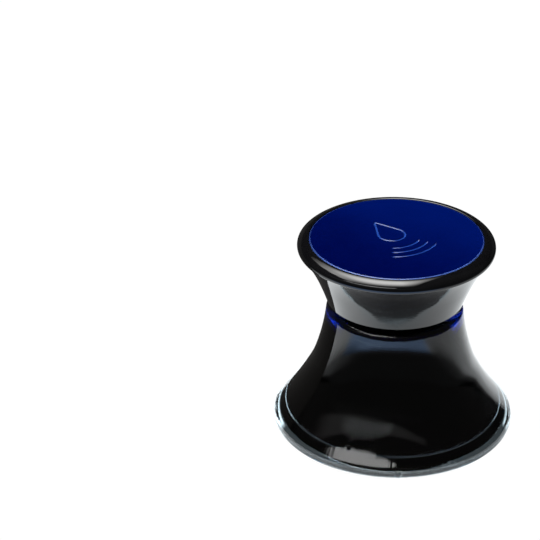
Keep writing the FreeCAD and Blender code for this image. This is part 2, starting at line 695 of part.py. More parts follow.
def make_disc():
    """Coloured disc with a drop over three ripples cut into its face."""
    body = new_body("inlay_disc")
    sketch = new_sketch(body, "disc_section", "XY_Plane", high="disc_low_high")
    add_circle(sketch, "disc_rad", "disc_rad")
    doc.recompute()
    blank = extrude(body, "Pad", "disc_blank", sketch, "disc_thick")
    dress_ring(
        body, "Chamfer", "disc_edge", blank,
        ring=("disc_rad", "disc_face_high"), size_property="Size", size="disc_chamfer",
    )

    emblem = new_sketch(body, "emblem", "XY_Plane", high="disc_face_high", turn="emblem_turn")
    draw_drop(emblem, "outer", "drop_rad", "drop_tip")
    draw_drop(emblem, "inner", "drop_inner_rad", "drop_inner_tip")
    for step in range(RIPPLE_COUNT):
        draw_ripple(emblem, step)
    doc.recompute()
    extrude(body, "Pocket", "emblem_cut", emblem, "emblem_deep")
    return body


def check(pieces):
    """Stop if an object failed or a piece has no sound solid."""
    faults = [
        f"{item.Name}: {item.State}"
        for item in doc.Objects
        if "Invalid" in item.State or "Error" in item.State
    ]
    for piece in pieces:
        shape = piece.Shape
        if shape.isNull() or not shape.isValid() or shape.Volume <= 0 or not shape.Solids:
            faults.append(piece.Label + ": null, invalid or empty shape")
    if faults:
        raise RuntimeError("; ".join(faults))


pieces = [
    make_glass(),
    make_revolved("ink", "ink", INK_OUTLINE),
    make_skirt(),
    make_revolved("cap_top", "top", TOP_OUTLINE),
    make_insert(),
    make_cylinder("seal_liner", "liner_rad", "liner_thick", "liner_low_high"),
    make_cylinder("adhesive_pad", "pad_rad", "pad_thick", "recess_high"),
    make_disc(),
]
doc.recompute()
check(pieces)
os.makedirs("parts", exist_ok=True)
for piece in pieces:
    piece.Shape.exportStep(os.path.join("parts", piece.Label + ".step"))
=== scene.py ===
"""An ink bottle: clear glass with a blue ink charge, a gloss black cap and a blue inlaid disc.

The bottle stands on Z = 0 with its axis on Z. The camera looks from -Y, so -Y is the front
and -X the left. Outlines are (radius, z) in the CAD's millimetres; the scene is in metres.
"""

import bpy
import bmesh
import math
import numpy as np
from mathutils import Matrix, Vector


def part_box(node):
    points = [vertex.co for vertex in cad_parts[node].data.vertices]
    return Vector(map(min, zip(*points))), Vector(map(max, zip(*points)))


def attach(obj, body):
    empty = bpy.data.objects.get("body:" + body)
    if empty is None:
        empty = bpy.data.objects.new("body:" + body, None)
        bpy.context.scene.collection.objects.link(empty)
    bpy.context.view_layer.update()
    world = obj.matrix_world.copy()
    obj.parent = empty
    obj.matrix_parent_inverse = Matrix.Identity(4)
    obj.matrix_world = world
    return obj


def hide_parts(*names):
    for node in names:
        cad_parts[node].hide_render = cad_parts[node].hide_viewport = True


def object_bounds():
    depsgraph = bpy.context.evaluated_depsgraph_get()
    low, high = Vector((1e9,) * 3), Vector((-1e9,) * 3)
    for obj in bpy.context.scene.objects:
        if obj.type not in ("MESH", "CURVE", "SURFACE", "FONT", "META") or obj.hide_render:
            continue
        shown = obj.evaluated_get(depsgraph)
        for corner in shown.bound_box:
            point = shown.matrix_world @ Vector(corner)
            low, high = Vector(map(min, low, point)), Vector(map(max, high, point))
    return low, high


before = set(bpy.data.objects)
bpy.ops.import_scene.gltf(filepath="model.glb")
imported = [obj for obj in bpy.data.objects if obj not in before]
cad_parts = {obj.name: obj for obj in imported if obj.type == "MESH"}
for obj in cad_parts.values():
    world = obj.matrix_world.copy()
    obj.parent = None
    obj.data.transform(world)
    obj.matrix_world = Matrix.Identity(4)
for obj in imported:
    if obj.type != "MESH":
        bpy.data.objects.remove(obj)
CAD_LO, CAD_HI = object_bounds()

MM = 0.001
FULL_TURN = 2 * math.pi
LEFT, RIGHT = True, False  # which way an arc turns along its path

# Outline drawing
ARC_ANGLE = 5.0  # widest step along an arc, degrees
ARC_CHORD = 0.7  # longest step along an arc
CORNER_STEPS = 5  # segments in a rounded corner

# Lathe segments
WALL_SEGMENTS = 320  # glass and cap
INNER_SEGMENTS = 256  # ink and disc

# Ink
INK_LEVEL = 32.6
FILM_TOP = 44.0  # how far up the neck the ink has wetted the glass
INK_GAP = 0.05  # between ink and glass
FILM_THICKNESS = 0.10

# Glass
BORE_R = 12.4
MOUTH_Z = 49.3
FLOOR_Z = 3.6
FOOT_R = 32.8
NECK_R = 14.87
NECK_R_LOW, NECK_R_HIGH = 14.8, 14.95  # radii that count as the neck's outer wall
NECK_Z_HIGH = 49.5

# Thread on the neck
THREAD_PITCH = 4.233
THREAD_START_Z = 42.9
THREAD_RUN = 1.3 * FULL_TURN
THREAD_HEIGHT = 1.19
THREAD_CREST, THREAD_ROOT = 0.5, 1.2  # half widths
THREAD_RUNOUT = math.radians(24)

# Small dome on the bead at the front of the foot
LUG_X, LUG_Y, LUG_Z = 0.1, -35.43, 2.05
LUG_ANGLE = math.atan2(LUG_Y, LUG_X)
LUG_R = math.hypot(LUG_Y, LUG_X)
LUG_BALL = 1.2
BEAD_CENTRE_R, BEAD_CENTRE_Z = 33.35, 2.4
LUG_HALF_ANGLE = 0.035  # span of the fine segments
LUG_SEGMENTS = 31

# Cap and disc
CAP_JOINT_Z = 57.49  # skirt below, top plate above
CAP_BOTTOM = 41.5
RECESS_R, RECESS_Z = 25.72, 59.5
DISC_R = 25.62
DISC_BOTTOM, DISC_TOP = 59.7, 60.94

# Emblem cut in the disc: a drop over three ripples
EMBLEM_ANGLE = math.radians(31.0)
EMBLEM_Y = 2.6  # centre of the drop's round and of the ripples
LINE_OFFSET = 0.35  # from a shape's edge to the line that is cut
DROP_LINE_R = 4.3 - LINE_OFFSET
DROP_TIP = 9.6 - 0.5  # from the round's centre
RIPPLE_R, RIPPLE_PITCH = 8.2, 2.7
RIPPLE_HALF_ANGLE = math.radians(38.0)
CUTTER_R = 0.39
CUTTER_LIFT = 0.14  # cutter's centreline above the disc's face
CUTTER_SIDES = 20

# Outlines. Each row is the next corner: (r, z) by a line,
# or (r, z, arc radius, turn) by an arc.
BOTTLE_UNDERSIDE = [(0.0, 1.9), (12.0, 1.9), (31.4, 1.2), (FOOT_R, 0.0, 1.6, RIGHT)]
BOTTLE_OUTSIDE = [
    (FOOT_R, 0.0),
    (34.0, 0.0),
    (35.9, 2.4, 2.466, LEFT),
    (35.2, 4.155, 2.55, LEFT),
    (25.5195, 18.1030, 64.425, RIGHT),
    (23.8559, 22.0078, 29.571, RIGHT),
    (20.3908, 37.6909, 70.936, RIGHT),
    (18.3021, 39.5725, 2.1, LEFT),
    (15.87, 39.5725),
    (NECK_R, 40.5725, 1.0, RIGHT),
    (NECK_R, 49.4),
    (14.27, 50.0, 0.6, LEFT),
    (13.1, 50.0),
    (BORE_R, MOUTH_Z, 0.7, LEFT),
]
# The inner wall that the ink wets, downwards
WETTED_WALL = [
    (BORE_R, FILM_TOP),
    (BORE_R, 39.2),
    (14.1798, 36.4594, 3.0, LEFT),
    (15.8242, 35.7272),
    (17.5584, 33.5076, 3.0, RIGHT),
    (20.6424, 21.7522, 74.16, LEFT),
    (25.2083, 12.8488, 37.1, LEFT),
    (30.498, 6.003),
    (29.3, FLOOR_Z, 1.5, RIGHT),
]
CAP_SKIRT = [
    (18.25, CAP_BOTTOM),
    (20.28, CAP_BOTTOM),
    (23.249, 49.0592, 87.5, RIGHT),
    (28.22, CAP_JOINT_Z, 43.6357, RIGHT),
    (25.3, CAP_JOINT_Z),
    (25.3, 55.0),
    (21.6, 50.0),
    (19.55, 44.5),
    (17.95, 44.5),
    (17.95, 41.8),
]
CAP_TOP = [
    (0.0, CAP_JOINT_Z),
    (12.2, CAP_JOINT_Z),
    (12.2, 53.0),
    (14.0, 53.0),
    (14.0, CAP_JOINT_Z),
    (23.8, CAP_JOINT_Z),
    (23.8, 55.2),
    (25.2, 55.2),
    (25.2, CAP_JOINT_Z),
    (28.3039, CAP_JOINT_Z),
    (28.9683, 57.9855, 0.7818, LEFT),
    (28.6336, 59.8135, 1.7573, LEFT),
    (25.95, 61.0, 3.6281, LEFT),
    (RECESS_R, 60.9),
    (RECESS_R, RECESS_Z),
    (0.0, RECESS_Z),
]
DISC = [(0.0, DISC_BOTTOM), (DISC_R, DISC_BOTTOM), (DISC_R, 60.72), (25.40, DISC_TOP), (0.0, DISC_TOP)]


# --------------------------------------------------------------------------
# Outline tools
# --------------------------------------------------------------------------
def arc(start, end, radius, left):
    """Points after start up to end on an arc that turns left or right."""
    p, q = np.array(start, float), np.array(end, float)
    across = q - p
    length = np.linalg.norm(across)
    height = math.sqrt(max(radius * radius - length * length / 4, 0.0))
    normal = np.array([-across[1], across[0]]) / length
    centre = (p + q) / 2 + normal * height * (1 if left else -1)
    first = math.atan2(p[1] - centre[1], p[0] - centre[0])
    last = math.atan2(q[1] - centre[1], q[0] - centre[0])
    if left and last < first:
        last += FULL_TURN
    elif not left and last > first:
        last -= FULL_TURN
    sweep = abs(last - first)
    count = max(
        2,
        int(math.ceil(math.degrees(sweep) / ARC_ANGLE)),
        int(math.ceil(sweep * radius / ARC_CHORD)),
    )
    angles = [first + (last - first) * i / count for i in range(1, count + 1)]
    return [(centre[0] + radius * math.cos(a), centre[1] + radius * math.sin(a)) for a in angles]


def walk(path):
    """The points of an outline table."""
    points = [path[0]]
    for corner in path[1:]:
        if len(corner) == 2:
            points.append(corner)
        else:
            points += arc(points[-1], corner[:2], *corner[2:])
    return points


def backwards(path):
    """The same outline table, walked from its end to its start."""
    back = [path[-1][:2]]
    for corner, previous in zip(path[:0:-1], path[-2::-1]):
        bow = (corner[2], not corner[3]) if len(corner) > 2 else ()
        back.append(previous[:2] + bow)
    return back


def soften(points, cut_at, closed=True, over=14.0):
    """Rounds each corner that turns more than over degrees, by cut_at(point)."""
    out = []
    last = len(points) - 1
    for i, point in enumerate(points):
        if not closed and i in (0, last):
            out.append(point)
            continue
        corner = np.array(point, float)
        u = corner - np.array(points[i - 1], float)
        v = np.array(points[(i + 1) % len(points)], float) - corner
        u_length, v_length = np.linalg.norm(u), np.linalg.norm(v)
        turn = math.degrees(abs(math.atan2(u[0] * v[1] - u[1] * v[0], u @ v)))
        if turn < over:
            out.append(point)
            continue
        cut = min(cut_at(point), u_length * 0.45, v_length * 0.45)
        start, end = corner - u / u_length * cut, corner + v / v_length * cut
        for step in range(CORNER_STEPS + 1):
            t = step / CORNER_STEPS
            out.append(tuple((1 - t) ** 2 * start + 2 * t * (1 - t) * corner + t * t * end))
    return out


def dense(points, longest_at, closed=True, edge=0.07):
    """Splits segments to longest_at(a, b), with a support point close to each end."""
    out = []
    count = len(points)
    for i in range(count if closed else count - 1):
        a, b = np.array(points[i], float), np.array(points[(i + 1) % count], float)
        out.append(tuple(a))
        length = np.linalg.norm(b - a)
        splits = [edge / length, 1 - edge / length] if length > 4 * edge else []
        pieces = int(math.ceil(length / longest_at(a, b)))
        splits += [j / pieces for j in range(1, pieces)]
        for t in sorted(set(round(t, 6) for t in splits)):
            out.append(tuple(a + (b - a) * t))
    if not closed:
        out.append(tuple(points[-1]))
    return out


def inset(points, depth):
    """The points moved to the left of their path by depth, one value or one per point."""
    p = np.array(points, float)
    along = np.gradient(p, axis=0)
    along /= np.linalg.norm(along, axis=1)[:, None]
    normal = np.stack([-along[:, 1], along[:, 0]], 1)
    return p + normal * np.reshape(depth, (-1, 1))


def fit_to_node(points, node):
    """Outline in mm to metres, radius and height matched to the CAD node's box."""
    lo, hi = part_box(node)
    p = np.array(points, float)
    fitted = p.copy()
    fitted[:, 0] = p[:, 0] * ((hi.x - lo.x) / 2 / p[:, 0].max())
    bottom = p[:, 1].min()
    fitted[:, 1] = lo.z + (p[:, 1] - bottom) * ((hi.z - lo.z) / (p[:, 1].max() - bottom))
    return fitted


def smooth01(t):
    t = min(1.0, max(0.0, t))
    return t * t * (3 - 2 * t)


# --------------------------------------------------------------------------
# Mesh tools
# --------------------------------------------------------------------------
def add_object(name, verts, faces):
    mesh = bpy.data.meshes.new(name)
    mesh.from_pydata(verts, [], faces)
    mesh.update()
    ob = bpy.data.objects.new(name, mesh)
    bpy.context.scene.collection.objects.link(ob)
    return ob


def face_outward(mesh, recalculate=False):
    bm = bmesh.new()
    bm.from_mesh(mesh)
    if recalculate:
        bmesh.ops.recalc_face_normals(bm, faces=bm.faces)
    if bm.calc_volume(signed=True) < 0:
        bmesh.ops.reverse_faces(bm, faces=bm.faces)
    bm.to_mesh(mesh)
    bm.free()


def even_angles(count):
    return np.linspace(-math.pi, math.pi, count, endpoint=False)


def crowded_angles(count, centre, half_width, fine_count):
    """Even angles with fine ones about centre, which widen gradually for even shading."""
    coarse = FULL_TURN / count
    step = 2 * half_width / (fine_count - 1)
    offsets = list(np.linspace(0.0, half_width, fine_count // 2 + 1))
    while step < coarse * 0.85:
        step *= 1.2
        offsets.append(offsets[-1] + step)
    clear = offsets[-1] + 0.7 * coarse
    angles = [
        a for a in even_angles(count) if abs((a - centre + math.pi) % FULL_TURN - math.pi) > clear
    ]
    angles += [centre + o for o in offsets] + [centre - o for o in offsets[1:]]
    return np.array(sorted(angles))


def lathe(name, profile, angles, bend=None, wet=None):
    """A solid of revolution about Z, from a closed loop or one whose ends lie on the axis.

    bend(r, z, angle) -> (r, z) moves single vertices. wet has a value for each profile
    point and becomes the point attribute of that name.
    """
    profile = [(float(r), float(z)) for r, z in profile]
    open_ends = profile[0][0] < 1e-9 and profile[-1][0] < 1e-9
    cosines, sines = np.cos(angles), np.sin(angles)
    verts, rows = [], []
    for r, z in profile:
        first = len(verts)
        if r < 1e-9:
            verts.append((0.0, 0.0, z))
        else:
            for angle, cosine, sine in zip(angles, cosines, sines):
                bent_r, bent_z = bend(r, z, angle) if bend else (r, z)
                verts.append((bent_r * cosine, bent_r * sine, bent_z))
        rows.append(range(first, len(verts)))
    faces = []
    for i in range(len(rows) - 1 if open_ends else len(rows)):
        a, b = rows[i], rows[(i + 1) % len(rows)]
        for j in range(len(angles)):
            k = (j + 1) % len(angles)
            if len(a) == 1:
                faces.append((a[0], b[j], b[k]))
            elif len(b) == 1:
                faces.append((a[j], b[0], a[k]))
            else:
                faces.append((a[j], b[j], b[k], a[k]))
    ob = add_object(name, verts, faces)
    face_outward(ob.data)
    if wet is not None:
        values = np.repeat(wet, [len(row) for row in rows]).astype(np.float32)
        ob.data.attributes.new("wet", "FLOAT", "POINT").data.foreach_set("value", values)
    ob.data.shade_smooth()
    return ob


def set_material(ob, material):
    ob.data.materials.clear()
    ob.data.materials.append(material)


def register(ob, material, body, node):
    """Gives a built piece its material and puts it in place of its CAD node."""
    set_material(ob, material)
    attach(ob, body)
    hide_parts(node)


# --------------------------------------------------------------------------
# Shader tools
# --------------------------------------------------------------------------
WHITE = (1.0, 1.0, 1.0)


class Graph:
    """The node tree of a material or world. Inputs take a socket or a plain value."""

    def __init__(self, owner, output="ShaderNodeOutputMaterial"):
        owner.use_nodes = True
        self.owner = owner
        self.tree = owner.node_tree
        self.tree.nodes.clear()
        self.output = self.tree.nodes.new(output)

    def feed(self, socket, value):
        if isinstance(value, bpy.types.NodeSocket):
            self.tree.links.new(value, socket)
        else:
            socket.default_value = (*value, 1) if socket.type == "RGBA" else value

    def node(self, kind, inputs={}, **settings):
        node = self.tree.nodes.new(kind)
        for key, value in settings.items():
            setattr(node, key, value)
        for key, value in inputs.items():
            self.feed(node.inputs[key], value)
        return node

    def value(self, kind, inputs={}, **settings):
        """A new node's first output."""
        return self.node(kind, inputs, **settings).outputs[0]

    def surface(self, shader):
        self.feed(self.output.inputs["Surface"], shader)

    def principled(self, inputs):
        self.surface(self.value("ShaderNodeBsdfPrincipled", inputs))

    def absorption(self, color, density):
        inputs = {"Color": color, "Density": density}
        volume = self.value("ShaderNodeVolumeAbsorption", inputs)
        self.feed(self.output.inputs["Volume"], volume)

    def emission(self, color, strength):
        return self.value("ShaderNodeEmission", {"Color": color, "Strength": strength})

    def camera_mix(self, light_path, others, camera):
        """One shader for camera rays, another for the rest."""
        inputs = {0: light_path.outputs["Is Camera Ray"], 1: others, 2: camera}
        self.surface(self.value("ShaderNodeMixShader", inputs))

    def math(self, operation, *values, clamp=False):
        inputs = dict(enumerate(values))
        return self.value("ShaderNodeMath", inputs, operation=operation, use_clamp=clamp)

    def add(self, a, b, clamp=False):
        return self.math("ADD", a, b, clamp=clamp)

    def minus(self, a, b):
        return self.math("SUBTRACT", a, b)

    def times(self, first, *factors):
        for factor in factors:
            first = self.math("MULTIPLY", first, factor)
        return first

    def crossfade(self, a, b, share):
        """a where share is 1, b where it is 0."""
        return self.add(self.times(a, share), self.times(b, self.minus(1.0, share)))

    def ramp(self, value, over, to=(0.0, 1.0), smooth=True):
        inputs = {
            "Value": value,
            "From Min": over[0],
            "From Max": over[1],
            "To Min": to[0],
            "To Max": to[1],
        }
        kind = "SMOOTHSTEP" if smooth else "LINEAR"
        return self.value("ShaderNodeMapRange", inputs, interpolation_type=kind)

    def band(self, value, up, down, end=0.0):
        """Rises from 0 to 1 over up, then falls to end over down."""
        return self.times(self.ramp(value, over=up), self.ramp(value, over=down, to=(1.0, end)))

    def noise(self, vector, scale, detail=3.0, rough=0.5, distortion=0.0):
        inputs = {
            "Scale": scale,
            "Detail": detail,
            "Roughness": rough,
            "Distortion": distortion,
            "Vector": vector,
        }
        return self.value("ShaderNodeTexNoise", inputs)

    def bump(self, height, strength, distance, normal=None):
        inputs = {"Strength": strength, "Distance": distance, "Height": height}
        if normal is not None:
            inputs["Normal"] = normal
        return self.value("ShaderNodeBump", inputs)

    def blend(self, factor, first, second, mode="MIX"):
        inputs = {"Fac": factor, "Color1": first, "Color2": second}
        return self.value("ShaderNodeMixRGB", inputs, blend_type=mode)

    def coords(self, output="Object"):
        return self.node("ShaderNodeTexCoord").outputs[output]

    def scaled(self, vector, scale):
        return self.value("ShaderNodeMapping", {"Scale": scale, "Vector": vector})

    def separate(self, vector):
        return self.node("ShaderNodeSeparateXYZ", {0: vector}).outputs[:]

    def combine(self, *values):
        return self.value("ShaderNodeCombineXYZ", dict(enumerate(values)))

    def radius(self, x, y):
        return self.math("SQRT", self.add(self.times(x, x), self.times(y, y)))

    def is_wet(self):
        wet = self.node("ShaderNodeAttribute", attribute_name="wet").outputs["Fac"]
        return self.math("GREATER_THAN", wet, 0.5)


def new_graph(name):
    return Graph(bpy.data.materials.new(name))


# --------------------------------------------------------------------------
# Materials
# --------------------------------------------------------------------------
def gloss_black():
    """Gloss moulded plastic: mottled black, faint flow waves and fine hairlines."""
    g = new_graph("cap_black")
    co = g.coords()
    x, y, z = g.separate(co)
    mottle = g.noise(co, scale=220.0, detail=4.0, rough=0.55)
    # hairlines run round the part: the angle is squeezed, radius and height are not
    angle = g.times(g.math("ARCTAN2", y, x), 0.004)
    wrapped = g.scaled(g.combine(angle, g.radius(x, y), z), scale=(1.0, 1.0, 1.0))
    hair = g.ramp(g.noise(wrapped, scale=5200.0, detail=2.0), over=(0.60, 0.78))
    smear = g.noise(co, scale=60.0, rough=0.6, distortion=0.4)
    smear = g.ramp(smear, over=(0.35, 0.7), to=(0.0245, 0.0525))
    waves = g.bump(g.noise(co, scale=75.0, detail=2.0, rough=0.4), strength=0.10, distance=0.0006)
    fine = g.noise(co, scale=1500.0, detail=2.0)
    g.principled({
        "Base Color": g.blend(mottle, (0.0022, 0.0022, 0.0026), (0.0046, 0.0046, 0.0052)),
        "Roughness": g.add(smear, g.times(hair, 0.05)),
        "IOR": 1.5,
        "Normal": g.bump(fine, strength=0.012, distance=0.00008, normal=waves),
    })
    return g.owner


GLASS_IOR, INK_IOR = 1.52, 1.34


def clear_glass():
    """Pressed glass, slightly blue-green in depth; it meets ink instead of air where wet."""
    g = new_graph("clear_glass")
    co = g.coords()
    x, y, z = g.separate(co)
    smear = g.noise(co, scale=90.0, rough=0.6, distortion=0.5)
    # long waves on the wall
    waves = g.noise(g.scaled(co, scale=(1.0, 1.0, 0.55)), scale=55.0, detail=2.0, rough=0.45)
    waves = g.bump(waves, strength=0.16, distance=0.0006)
    # tight ribs that fade out above the heel
    wrapped = g.combine(g.times(g.math("ARCTAN2", y, x), 0.030), g.times(z, 0.12))
    ribs = g.noise(wrapped, scale=900.0, detail=2.0)
    ribs = g.times(ribs, g.ramp(z, over=(0.0045, 0.0115), to=(1.0, 0.0)))
    g.principled({
        "Base Color": WHITE,
        "Transmission Weight": 1.0,
        "IOR": g.ramp(g.is_wet(), over=(0, 1), to=(GLASS_IOR, GLASS_IOR / INK_IOR), smooth=False),
        "Roughness": g.ramp(smear, over=(0.45, 0.8), to=(0.0, 0.012)),
        "Normal": g.bump(ribs, strength=0.22, distance=0.0003, normal=waves),
    })
    g.absorption(color=(0.48, 0.88, 1.0), density=34.0)
    return g.owner


def blue_ink():
    """Dye ink, black in bulk. Only the free surface bends light, not the one on the glass."""
    g = new_graph("blue_ink")
    free = g.is_wet()
    # uneven film on the wall
    runs = g.noise(g.scaled(g.coords(), scale=(1.0, 1.0, 0.35)), scale=420.0, rough=0.55)
    g.principled({
        "Base Color": WHITE,
        "Transmission Weight": 1.0,
        "Roughness": 0.0,
        "IOR": g.ramp(free, over=(0, 1), to=(1.0, INK_IOR), smooth=False),
        "Normal": g.bump(g.times(runs, free), strength=0.25, distance=0.00025),
    })
    g.absorption(color=(0.0, 0.66, 0.93), density=30000.0)
    return g.owner


def blue_disc():
    """Glossy blue enamel, painted lighter towards the back right, with painted highlights paling its
    cut lines and its rim.
    """
    g = new_graph("disc_blue")
    co = g.coords()
    x, y, z = g.separate(co)
    radius = g.radius(x, y)
    # painted light: two blues shade across the face, lighter towards the back right, broken up by
    # cloud and grain
    painted_light_gradient = g.ramp(g.add(g.times(x, 0.62), g.times(y, 0.78)), over=(-0.022, 0.026))
    cloud = g.ramp(g.noise(co, scale=60.0), over=(0.3, 0.7), to=(-0.10, 0.10))
    face = g.blend(g.add(painted_light_gradient, cloud, clamp=True), (0.0, 0.0012, 0.036), (0.0, 0.0042, 0.074))
    grain = g.ramp(g.noise(co, scale=900.0, rough=0.6), over=(0.35, 0.75), to=(0.0, 0.10))
    face = g.blend(grain, face, (0.0, 0.006, 0.12))
    # the cut emblem, below the face and inside the rim, painted paler as a painted highlight along its
    # lines
    top = DISC_TOP * MM
    depth = g.ramp(z, over=(top - 0.00020, top - 0.00004), to=(1.0, 0.0))
    inside = g.ramp(radius, over=(0.0246, 0.0248), to=(1.0, 0.0), smooth=False)
    face = g.blend(g.times(depth, inside), face, (0.012, 0.046, 0.24))
    # painted highlight along the rim, palest at the front
    front = g.ramp(y, over=(-0.024, 0.004), to=(1.0, 0.0))
    rim = g.ramp(radius, over=(0.02512, 0.02532))
    rim = g.times(rim, g.add(g.times(front, 0.75), 0.25))
    smear = g.noise(co, scale=140.0, rough=0.6, distortion=0.6)
    waves = g.noise(co, scale=160.0, detail=2.0, rough=0.4)
    g.principled({
        "Base Color": g.blend(rim, face, (0.05, 0.10, 0.34)),
        "Roughness": g.ramp(smear, over=(0.35, 0.7), to=(0.03, 0.07)),
        "IOR": 1.5,
        "Normal": g.bump(waves, strength=0.06, distance=0.0004),
    })
    return g.owner


def moulded(name, base, rough, grain_scale):
    """Colour mottling with a fine grain, for hidden mouldings, foam and film."""
    g = new_graph(name)
    co = g.coords()
    mottle = g.noise(co, scale=300.0, detail=4.0, rough=0.6)
    dark, light = (tuple(c * shade for c in base) for shade in (0.85, 1.12))
    patches = g.noise(co, scale=500.0)
    grain = g.noise(co, scale=grain_scale, rough=0.6)
    g.principled({
        "Base Color": g.blend(mottle, dark, light),
        "Roughness": g.ramp(patches, over=(0.3, 0.7), to=(rough * 0.85, rough * 1.15)),
        "Normal": g.bump(grain, strength=0.25, distance=0.00008),
    })
    return g.owner


# --------------------------------------------------------------------------
# Glass bottle
# --------------------------------------------------------------------------
def glass_step(a, b):
    """Longest segment: fine where the thread and the lug are raised."""
    on_neck = NECK_R_LOW < a[0] < NECK_R_HIGH and b[0] < 14.9
    if on_neck and a[1] > 40 and b[1] < NECK_Z_HIGH:
        return 0.14
    if min(a[0], b[0]) > 34.3 and 1.0 < a[1] < 5.0:
        return 0.16
    return 2.2


def thread_height(z, angle):
    """0 to 1: a rounded trapezoid that winds up the neck and runs out at both ends."""
    height = 0.0
    for turn in (0, 1):
        run = angle % FULL_TURN + FULL_TURN * turn
        ridge_z = THREAD_START_Z + THREAD_PITCH * run / FULL_TURN
        ridge = smooth01((THREAD_ROOT - abs(z - ridge_z)) / (THREAD_ROOT - THREAD_CREST))
        to_end = min(run, THREAD_RUN - run)
        height = max(height, ridge * smooth01(to_end / THREAD_RUNOUT))
    return height


def raise_lug(r, z, angle):
    """Moves a point of the bead out along the bead's normal onto the lug's ball."""
    across = ((angle - LUG_ANGLE + math.pi) % FULL_TURN - math.pi) * r
    dr, dz = r - LUG_R, z - LUG_Z
    normal_r, normal_z = r - BEAD_CENTRE_R, z - BEAD_CENTRE_Z
    length = math.hypot(normal_r, normal_z)
    normal_r, normal_z = normal_r / length, normal_z / length
    along = dr * normal_r + dz * normal_z
    off_squared = across * across + dr * dr + dz * dz - along * along
    if off_squared >= LUG_BALL**2:
        return r, z
    rise = max(0.0, -along + math.sqrt(LUG_BALL**2 - off_squared))
    return r + normal_r * rise, z + normal_z * rise


def bend_glass(r, z, angle):
    r_mm, z_mm = r / MM, z / MM
    if NECK_R_LOW < r_mm < NECK_R_HIGH and 40.6 < z_mm < NECK_Z_HIGH:
        return r + THREAD_HEIGHT * thread_height(z_mm, angle) * MM, z
    if r_mm > 33.0 and z_mm > 0.3:
        lug_r, lug_z = raise_lug(r_mm, z_mm, angle)
        return lug_r * MM, lug_z * MM
    return r, z


def build_glass():
    points = walk(BOTTLE_UNDERSIDE)[:-1]
    points += walk(BOTTLE_OUTSIDE + WETTED_WALL + [(0.0, FLOOR_Z)])
    points = soften(points, lambda p: 0.28, closed=False)
    points = dense(points, glass_step, closed=False)
    first_wet = next(
        i for i, (r, z) in enumerate(points) if abs(z - FILM_TOP) < 1e-6 and abs(r - BORE_R) < 1e-3
    )
    glass = lathe(
        "bottle_glass",
        fit_to_node(points, "glass_bottle"),
        crowded_angles(WALL_SEGMENTS, LUG_ANGLE, LUG_HALF_ANGLE, LUG_SEGMENTS),
        bend_glass,
        wet=[float(i >= first_wet) for i in range(len(points))],
    )
    register(glass, clear_glass(), "bottle", "glass_bottle")


# --------------------------------------------------------------------------
# Ink: the charge, a meniscus and a film up the neck's wall
# --------------------------------------------------------------------------
def film_depth(z):
    """Distance of the film's free side from the glass, flaring at the ink's level."""
    film = FILM_THICKNESS * (0.35 + 0.65 * smooth01((FILM_TOP - z) / 6.0))
    return INK_GAP + film + 0.9 * math.exp(-max(0.0, z - INK_LEVEL) / 0.42)


def build_ink():
    wall = dense(walk(backwards(WETTED_WALL)), lambda a, b: 0.8, closed=False, edge=0.3)
    outside = inset(wall, INK_GAP)
    inside = inset(wall, [film_depth(z) for r, z in outside])
    level_r = next(r for r, z in outside if z > INK_LEVEL)

    surface = [(0.0, INK_LEVEL), (level_r * 0.5, INK_LEVEL)]
    for x in (4.2, 3.2, 2.5, 2.0, 1.6, 1.25, 1.0):
        surface.append((level_r - x, INK_LEVEL + 0.30 * math.exp(-(x - 0.9) / 0.7)))
    surface += [tuple(q) for q, out in zip(inside, outside) if out[1] > INK_LEVEL + 0.25]
    film_tip = tuple((outside[-1] + inside[-1]) / 2 + np.array([0.0, 0.05]))
    against_glass = [film_tip] + [tuple(q) for q in outside[::-1]] + [(0.0, 3.65)]

    def bend_film(r, z, angle):
        """The film is thin at the left and right, and thick in front and behind."""
        r_mm, z_mm = r / MM, z / MM
        if z_mm < INK_LEVEL + 0.2 or r_mm < 11.0:
            return r, z
        if r_mm > float(np.interp(z_mm, outside[:, 1], outside[:, 0])) - 0.02:
            return r, z
        sideways = abs(math.sin(angle + math.pi / 2))
        thick = 1.0 - smooth01((sideways - 0.78) / 0.10)
        above_level = smooth01((z_mm - INK_LEVEL - 0.2) / 0.6)
        below_top = smooth01((FILM_TOP + 0.3 - z_mm) / 0.6)
        return r - 1.3 * thick * above_level * below_top * MM, z

    ink = lathe(
        "ink_charge",
        np.array(surface + against_glass, float) * MM,
        even_angles(INNER_SEGMENTS),
        bend_film,
        wet=[1.0] * len(surface) + [0.0] * len(against_glass),
    )
    register(ink, blue_ink(), "bottle", "ink")


# --------------------------------------------------------------------------
# Cap
# --------------------------------------------------------------------------
def build_cap():
    black = gloss_black()
    pieces = (  # object, CAD node, outline, closed, corner cut
        ("cap_skirt_body", "cap_skirt", CAP_SKIRT, True, lambda p: 0.16 if p[1] < 42 else 0.10),
        ("cap_top_plate", "cap_top", CAP_TOP, False, lambda p: 0.09),
    )
    for name, node, outline, closed, cut_at in pieces:
        points = soften(walk(outline), cut_at, closed=closed)
        points = dense(points, lambda a, b: 1.2, closed=closed)
        piece = lathe(name, fit_to_node(points, node), even_angles(WALL_SEGMENTS))
        register(piece, black, "cap", node)


# --------------------------------------------------------------------------
# Blue disc with its emblem
# --------------------------------------------------------------------------
def drop_lines():
    """The drop's outline in three strokes: its round, then the two sides to the tip."""
    lean = math.asin(DROP_LINE_R / DROP_TIP)
    first, last = math.pi - lean, FULL_TURN + lean
    bowl = []
    for i in range(73):
        a = first + (last - first) * i / 72
        bowl.append((DROP_LINE_R * math.cos(a), EMBLEM_Y + DROP_LINE_R * math.sin(a)))
    apex = (0.0, EMBLEM_Y + DROP_TIP)

    def side(x, y):
        # starts a little inside the round so that the cuts overlap
        return [
            (x * (1 - t) + apex[0] * t, y * (1 - t) + apex[1] * t)
            for t in np.linspace(-0.02, 1.0, 17)
        ]

    return [bowl, side(*bowl[-1]), side(*bowl[0])]


